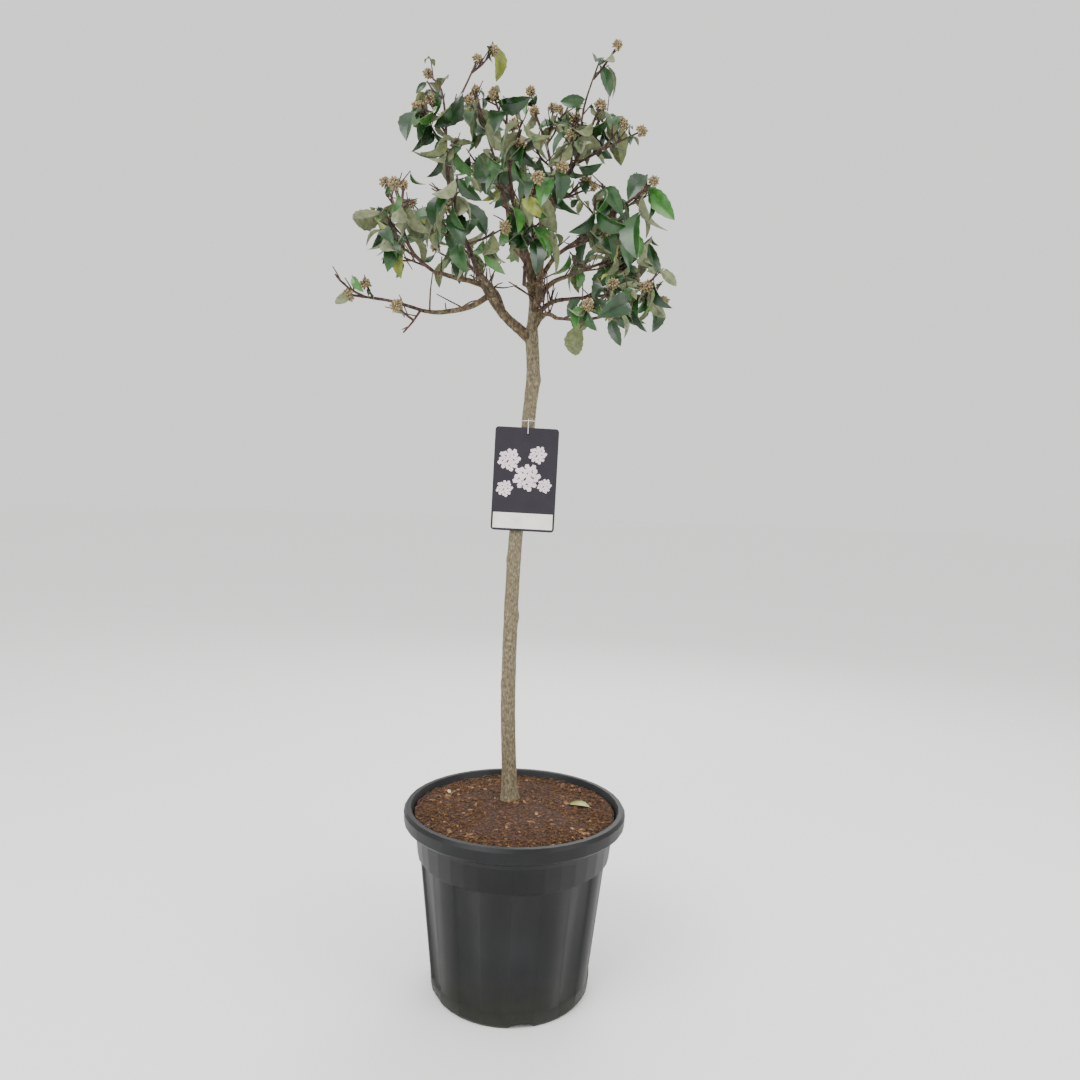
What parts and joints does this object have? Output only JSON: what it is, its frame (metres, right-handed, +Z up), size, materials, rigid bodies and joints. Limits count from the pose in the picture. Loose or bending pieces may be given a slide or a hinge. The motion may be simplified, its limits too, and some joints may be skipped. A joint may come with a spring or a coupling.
{
  "type": "potted viburnum",
  "caption": "Young viburnum grown as a standard: bare stem, open crown of small leathery leaves and flower buds, in a filled nursery pot.",
  "frame": {"origin": "centre of the pot's flat underside", "axes": "+Z up, -Y towards the front of the plant, where its hang tag is, +X to the right"},
  "size_m": [0.5907, 0.501, 1.6662],
  "materials": {
    "pot_plastic": "satin moulded",
    "coir": "loose fibre",
    "bark": "rough, lenticelled",
    "bough_bark": "dull",
    "leaf": "leathery, waxy above and felted below",
    "card": "printed, coated",
    "loop": "plain"
  },
  "bodies": {
    "root": {"pot": "pot_plastic", "soil": "coir", "trunk": "bark", "tag": "card", "tag_loop": "loop", "bough_center": "bough_bark", "bough_left": "bough_bark", "bough_back_center": "bough_bark", "bough_upper_right": "bough_bark", "bough_right": "bough_bark", "bough_low_right": "bough_bark", "bough_front_right": "bough_bark", "bough_back_right": "bough_bark", "bough_back": "bough_bark", "bough_front": "bough_bark", "bough_low_left": "bough_bark", "bough_left_level": "bough_bark", "bough_back_left": "bough_bark", "bough_front_left": "bough_bark", "bough_center_left": "bough_bark", "foliage_low_left": "leaf", "foliage_left": "leaf", "foliage_left_high": "leaf", "foliage_center_left": "leaf", "foliage_center": "leaf", "foliage_back_center": "leaf", "foliage_upper_right": "leaf", "foliage_right": "leaf", "foliage_low_right": "leaf", "foliage_front_right": "leaf", "foliage_back_right": "leaf", "foliage_back": "leaf", "foliage_back_left": "leaf", "foliage_front": "leaf", "foliage_front_left": "leaf"}
  },
  "joints": []
}
